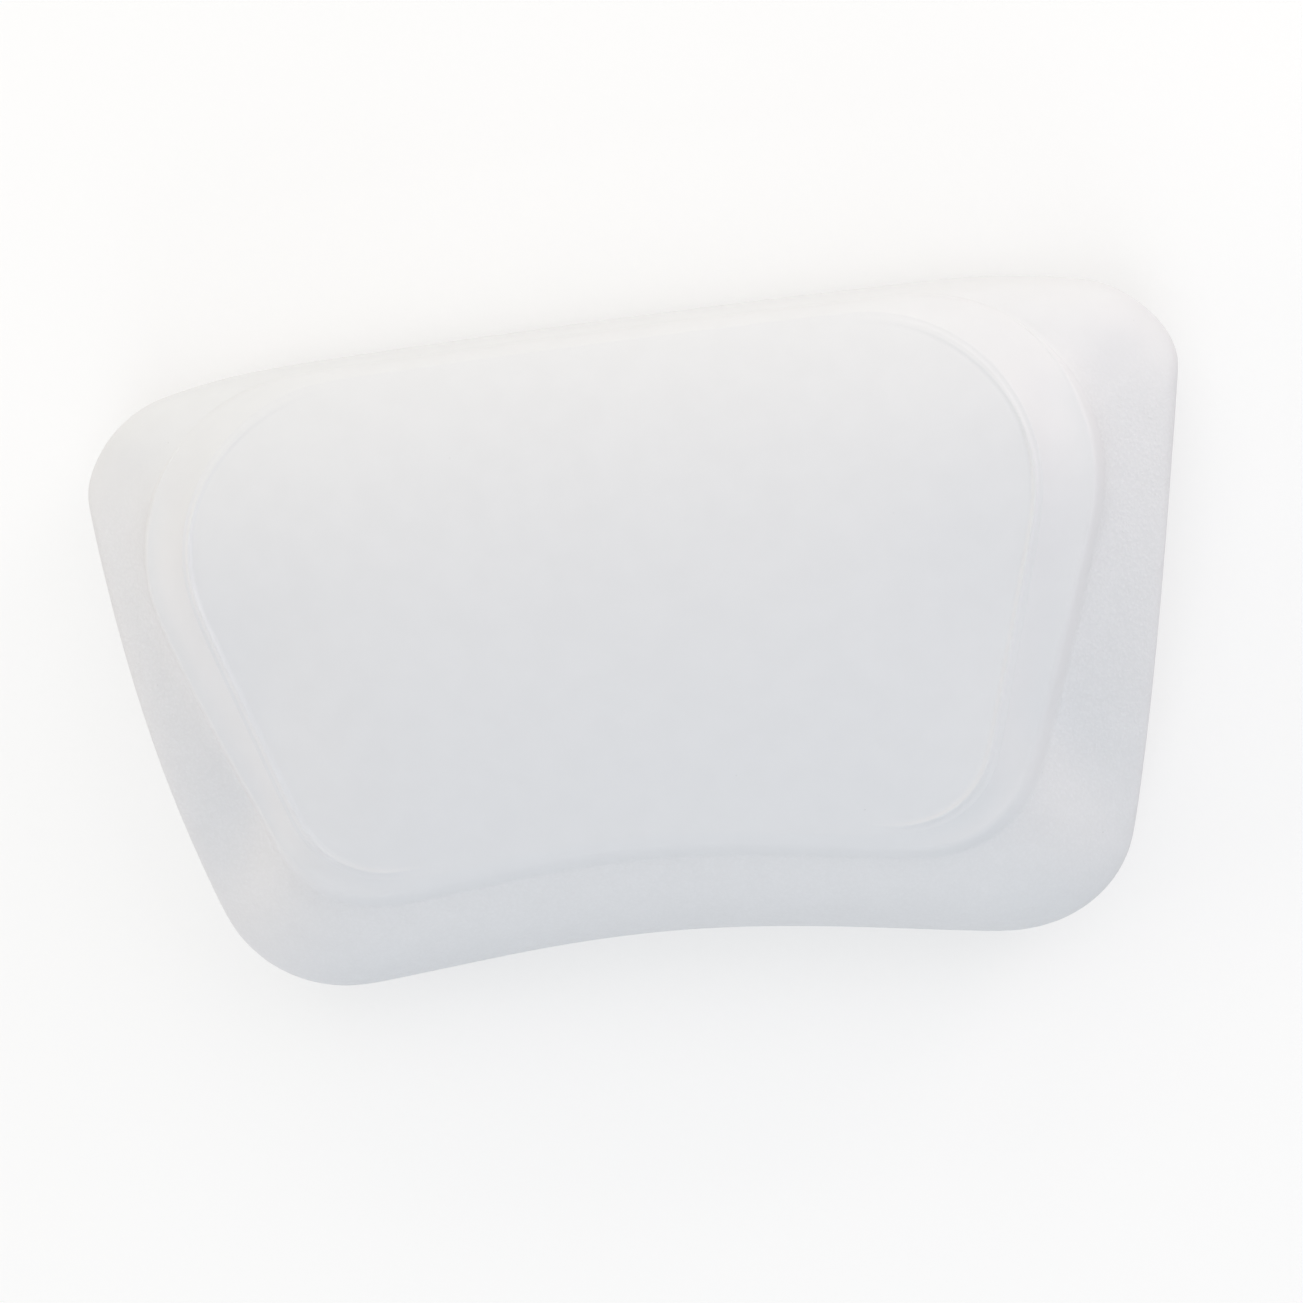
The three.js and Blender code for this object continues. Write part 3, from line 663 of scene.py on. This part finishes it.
# The foam's skin: sizes, depths and heights in millimetres, tones as shares of the base colour.
SKIN_COLOUR = "#e6e7ea"
SKIN_IOR = 1.5
SKIN_ROUGHNESS = (0.45, 0.57)
PEBBLE_SIZE = 0.95
FINE_PEBBLE_SIZE = 0.5
FINE_PEBBLE_SHARE = 0.35
PEBBLE_DEPTH = 0.09
PEBBLE_SWAY_SIZE = 3.5
PEBBLE_SWAY = 0.5
NOISE_MIDDLE = (0.5, 0.5, 0.5)
FURROW_SHARES = (0.1, 0.55)
# Painted shade: the grain's furrows are darkened to this share of the base colour, for the shade that falls
# in them.
FURROW_SHADE_SHARE = 0.955
GRAIN_FADES = 38
GRAIN_ENDS = 78
GRAIN_EASES = -20
GRAIN_LOWEST = -75
LOW_GRAIN_SHARE = 0.6
PEEL_SIZE = 2.2
PEEL_DEPTH = 0.012
CLOUD_SIZE = 9
CLOUD_SHARES = (0.35, 0.65)
CLOUD_TONE_SHARE = 0.985
PINHOLE_SPACING = 15
PINHOLE_RADIUS = 0.3
# Painted shade: each pinhole is a dark dot in the colour, with no depth, darkened to this share.
PINHOLE_SHADE_SHARE = 0.82


def foam_grain(tree, place):
    """How strong the leather grain is: none on the head rest, full on the flange.

    It fades out towards the top and is weaker towards the bottom. It sets both the grain's bump and the
    painted shade in its furrows."""
    flange = add_node(tree, "ShaderNodeAttribute", attribute_name="grain").outputs["Fac"]
    up = add_node(tree, "ShaderNodeSeparateXYZ", {0: place}).outputs["Y"]
    lower = add_node(tree, "ShaderNodeMapRange", {
        "Value": up, "From Min": GRAIN_ENDS * MM, "From Max": GRAIN_FADES * MM,
    }, interpolation_type="SMOOTHSTEP")
    eased = add_node(tree, "ShaderNodeMapRange", {
        "Value": up, "From Min": GRAIN_LOWEST * MM, "From Max": GRAIN_EASES * MM, "To Min": LOW_GRAIN_SHARE})
    grain = add_node(tree, "ShaderNodeMath", {0: flange, 1: lower.outputs[0]}, operation="MULTIPLY")
    grain = add_node(tree, "ShaderNodeMath", {0: grain.outputs[0], 1: eased.outputs[0]}, operation="MULTIPLY")
    return grain.outputs[0]


def foam_furrows(tree, place, grain):
    """The furrows between the grain's pebbles: cells of two sizes, swayed by noise to look grown."""
    sway = add_node(tree, "ShaderNodeTexNoise", {
        "Vector": place, "Scale": 1 / (PEBBLE_SWAY_SIZE * MM), "Detail": 1.0})
    push = add_node(tree, "ShaderNodeVectorMath", {
        0: sway.outputs["Color"], 1: NOISE_MIDDLE}, operation="SUBTRACT")
    push = add_node(tree, "ShaderNodeVectorMath", {
        0: push.outputs[0], "Scale": PEBBLE_SWAY * MM}, operation="SCALE")
    swayed = add_node(tree, "ShaderNodeVectorMath", {
        0: place, 1: push.outputs[0]}, operation="ADD").outputs[0]
    coarse = add_node(tree, "ShaderNodeTexVoronoi", {
        "Vector": swayed, "Scale": 1 / (PEBBLE_SIZE * MM)}, feature="SMOOTH_F1")
    fine = add_node(tree, "ShaderNodeTexVoronoi", {
        "Vector": swayed, "Scale": 1 / (FINE_PEBBLE_SIZE * MM)}, feature="SMOOTH_F1")
    pebbles = add_node(tree, "ShaderNodeMix", {
        0: FINE_PEBBLE_SHARE, 2: coarse.outputs["Distance"], 3: fine.outputs["Distance"]})
    furrow = add_node(tree, "ShaderNodeMapRange", {
        "Value": pebbles.outputs[0], "From Min": FURROW_SHARES[0], "From Max": FURROW_SHARES[1]})
    return add_node(tree, "ShaderNodeMath", {0: furrow.outputs[0], 1: grain}, operation="MULTIPLY").outputs[0]


def self_skinned_foam():
    """White integral-skin polyurethane foam, moulded: a satin skin with a faint orange peel.

    It is smooth on the head rest and leather-grained on the flange, with faint clouds in tone and gloss
    and a few pinholes where gas escaped. The grain's furrows are painted darker, as painted shade in them,
    and the pinholes are painted as dark dots of shade with no depth."""
    material, tree = new_material("self_skinned_polyurethane_foam")
    place = add_node(tree, "ShaderNodeTexCoord").outputs["Object"]
    furrow = foam_furrows(tree, place, foam_grain(tree, place))
    height = add_node(tree, "ShaderNodeMath", {0: furrow, 1: -1.0}, operation="MULTIPLY").outputs[0]
    pebbled = add_node(tree, "ShaderNodeBump", {
        "Height": height, "Strength": 1.0, "Distance": PEBBLE_DEPTH * MM})
    peel = add_node(tree, "ShaderNodeTexNoise", {
        "Vector": place, "Scale": 1 / (PEEL_SIZE * MM), "Detail": 2.0})
    peeled = add_node(tree, "ShaderNodeBump", {
        "Height": peel.outputs[0], "Strength": 1.0, "Distance": PEEL_DEPTH * MM,
        "Normal": pebbled.outputs[0]})

    cloud = add_node(tree, "ShaderNodeTexNoise", {
        "Vector": place, "Scale": 1 / (CLOUD_SIZE * MM), "Detail": 4.0})
    cloudy = add_node(tree, "ShaderNodeMapRange", {
        "Value": cloud.outputs[0], "From Min": CLOUD_SHARES[0], "From Max": CLOUD_SHARES[1],
        "To Min": CLOUD_TONE_SHARE, "To Max": 1.0})
    # Painted shade in the furrows: the colour is darker where the grain's furrows lie, most where the grain
    # is full.
    furrow_shade = add_node(tree, "ShaderNodeMapRange", {
        "Value": furrow, "To Min": 1.0, "To Max": FURROW_SHADE_SHARE})
    # Painted shade in the pinholes: dark dots in the colour where small holes would hold shade.
    hole = add_node(tree, "ShaderNodeTexVoronoi", {"Vector": place, "Scale": 1 / (PINHOLE_SPACING * MM)})
    pinhole_shade = add_node(tree, "ShaderNodeMapRange", {
        "Value": hole.outputs["Distance"], "From Max": PINHOLE_RADIUS / PINHOLE_SPACING,
        "To Min": PINHOLE_SHADE_SHARE})
    tone = add_node(tree, "ShaderNodeMath", {
        0: cloudy.outputs[0], 1: furrow_shade.outputs[0]}, operation="MULTIPLY")
    tone = add_node(tree, "ShaderNodeMath", {
        0: tone.outputs[0], 1: pinhole_shade.outputs[0]}, operation="MULTIPLY")
    colour = add_node(tree, "ShaderNodeVectorMath", {
        0: linear(SKIN_COLOUR)[:3], "Scale": tone.outputs[0]}, operation="SCALE")
    gloss = add_node(tree, "ShaderNodeMapRange", {
        "Value": cloud.outputs[0], "To Min": SKIN_ROUGHNESS[0], "To Max": SKIN_ROUGHNESS[1]})
    shader = add_node(tree, "ShaderNodeBsdfPrincipled", {
        "Base Color": colour.outputs[0], "Roughness": gloss.outputs[0], "IOR": SKIN_IOR,
        "Normal": peeled.outputs[0]})
    add_node(tree, "ShaderNodeOutputMaterial", {"Surface": shader.outputs[0]})
    return material


# Clear plasticised PVC.
PVC_COLOUR = "#eef6f8"
PVC_ROUGHNESS = 0.08
PVC_IOR = 1.53
PVC_TRANSMISSION = 0.92


def clear_pvc():
    """Clear plasticised PVC: a soft, glossy, faintly blue moulding."""
    material, tree = new_material("clear_plasticised_pvc")
    shader = add_node(tree, "ShaderNodeBsdfPrincipled", {
        "Base Color": linear(PVC_COLOUR), "Roughness": PVC_ROUGHNESS, "IOR": PVC_IOR,
        "Transmission Weight": PVC_TRANSMISSION})
    add_node(tree, "ShaderNodeOutputMaterial", {"Surface": shader.outputs[0]})
    return material


# Natural polypropylene, with the size and depth of the specks that make it matt.
PLATE_COLOUR = "#dcdcd8"
CAP_COLOUR = "#d2d5d4"
POLYPROPYLENE_ROUGHNESS = 0.45
POLYPROPYLENE_IOR = 1.49
SPECK_SIZE = 0.6
SPECK_DEPTH = 0.04
SPECK_STRENGTH = 0.2


def moulded_polypropylene(name, colour):
    """Injection-moulded natural polypropylene: milky white with a fine matt texture."""
    material, tree = new_material(name)
    place = add_node(tree, "ShaderNodeTexCoord").outputs["Object"]
    speck = add_node(tree, "ShaderNodeTexNoise", {
        "Vector": place, "Scale": 1 / (SPECK_SIZE * MM), "Detail": 3.0})
    bump = add_node(tree, "ShaderNodeBump", {
        "Height": speck.outputs[0], "Strength": SPECK_STRENGTH, "Distance": SPECK_DEPTH * MM})
    shader = add_node(tree, "ShaderNodeBsdfPrincipled", {
        "Base Color": linear(colour), "Roughness": POLYPROPYLENE_ROUGHNESS, "IOR": POLYPROPYLENE_IOR,
        "Normal": bump.outputs[0]})
    add_node(tree, "ShaderNodeOutputMaterial", {"Surface": shader.outputs[0]})
    return material


give(cushion, self_skinned_foam())
give(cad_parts["insert_plate"], moulded_polypropylene("moulded_polypropylene_plate", PLATE_COLOUR))
cap_finish = moulded_polypropylene("moulded_polypropylene_cap", CAP_COLOUR)
cup_finish = clear_pvc()
for place in CUPS:
    give(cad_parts["socket_cap_" + place], cap_finish)
    give(make_cup(place, *CUPS[place]), cup_finish)


# Floor and light

FLOOR_HALF = 1150
FLOOR_DROP = 0.02
PAPER_COLOUR = "#c4c4c4"
PAPER_GLOW = 0.45
WHITE = (1, 1, 1, 1)
WORLD_FILL = 0.417
LIGHT_AIM = (0, 0, 30)

# Soft boxes: place, width, height, power in watts and tint.
SOFTBOXES = {
    "above": ((0, 1300, 350), 1200, 700, 5.17, (1, 0.987, 0.91)),
    "above_front": ((0, 800, 1100), 1200, 800, 1.81, (1, 0.96, 0.946)),
    "above_right": ((900, 700, 800), 900, 900, 2.97, (0.996, 0.979, 1)),
    "above_left": ((-900, 900, 500), 900, 900, 1.78, (0.987, 1, 0.742)),
    "left": ((-1300, 0, 350), 900, 900, 4.79, (1, 0.871, 0.807)),
    "right": ((1300, 0, 350), 900, 900, 1.66, (0.935, 0.938, 1)),
    "front_low": ((0, -600, 1250), 900, 900, 2.93, (0.904, 0.954, 1)),
    "below": ((0, -1200, 600), 1200, 800, 4.25, (0.872, 0.95, 1)),
    "corner": ((1000, 800, 300), 400, 400, 2.42, (1, 0.822, 0.719)),
}


def paper_floor():
    """White paper: it takes the shadow, and glows to the camera, in reflections and through clear pieces."""
    material, tree = new_material("white_paper")
    path = add_node(tree, "ShaderNodeLightPath").outputs
    seen = add_node(tree, "ShaderNodeMath", {
        0: path["Is Camera Ray"], 1: path["Is Glossy Ray"]}, operation="MAXIMUM")
    seen = add_node(tree, "ShaderNodeMath", {
        0: seen.outputs[0], 1: path["Is Transmission Ray"]}, operation="MAXIMUM")
    paper = add_node(tree, "ShaderNodeBsdfDiffuse", {"Color": linear(PAPER_COLOUR)})
    lift = add_node(tree, "ShaderNodeMath", {0: seen.outputs[0], 1: PAPER_GLOW}, operation="MULTIPLY")
    glow = add_node(tree, "ShaderNodeEmission", {"Color": WHITE, "Strength": lift.outputs[0]})
    both = add_node(tree, "ShaderNodeAddShader", {0: paper.outputs[0], 1: glow.outputs[0]})
    add_node(tree, "ShaderNodeOutputMaterial", {"Surface": both.outputs[0]})
    return material


def make_floor():
    """A square of paper just under the plane that the suction cups rest on."""
    half = FLOOR_HALF * MM
    drop = -FLOOR_DROP * MM
    points = np.array([[-half, -half, drop], [half, -half, drop], [half, half, drop], [-half, half, drop]])
    floor = mesh_object("floor", points, [[0, 1, 2, 3]], smooth=False)
    give(floor, paper_floor())


def area_light(name, place, width, height, power, tint):
    """A soft box at its place, turned to the pillow."""
    data = bpy.data.lights.new(name, "AREA")
    data.shape = "RECTANGLE"
    data.size = width * MM
    data.size_y = height * MM
    data.energy = power
    data.color = tint
    light = bpy.data.objects.new(name, data)
    direction = (Vector(LIGHT_AIM) - Vector(place)) * MM
    light.location = Vector(place) * MM
    light.rotation_euler = direction.to_track_quat("-Z", "Y").to_euler()
    bpy.context.scene.collection.objects.link(light)


def make_world():
    """An even fill of light that shows as white to the camera."""
    world = bpy.data.worlds.new("studio")
    world.use_nodes = True
    tree = world.node_tree
    tree.nodes.clear()
    path = add_node(tree, "ShaderNodeLightPath").outputs
    fill = add_node(tree, "ShaderNodeBackground", {"Color": WHITE, "Strength": WORLD_FILL})
    seen = add_node(tree, "ShaderNodeBackground", {"Color": WHITE, "Strength": 1.0})
    both = add_node(tree, "ShaderNodeMixShader", {
        0: path["Is Camera Ray"], 1: fill.outputs[0], 2: seen.outputs[0]})
    add_node(tree, "ShaderNodeOutputWorld", {"Surface": both.outputs[0]})
    bpy.context.scene.world = world


make_floor()
make_world()
for name, settings in SOFTBOXES.items():
    area_light("softbox_" + name, *settings)
bpy.context.scene.view_settings.view_transform = "Standard"
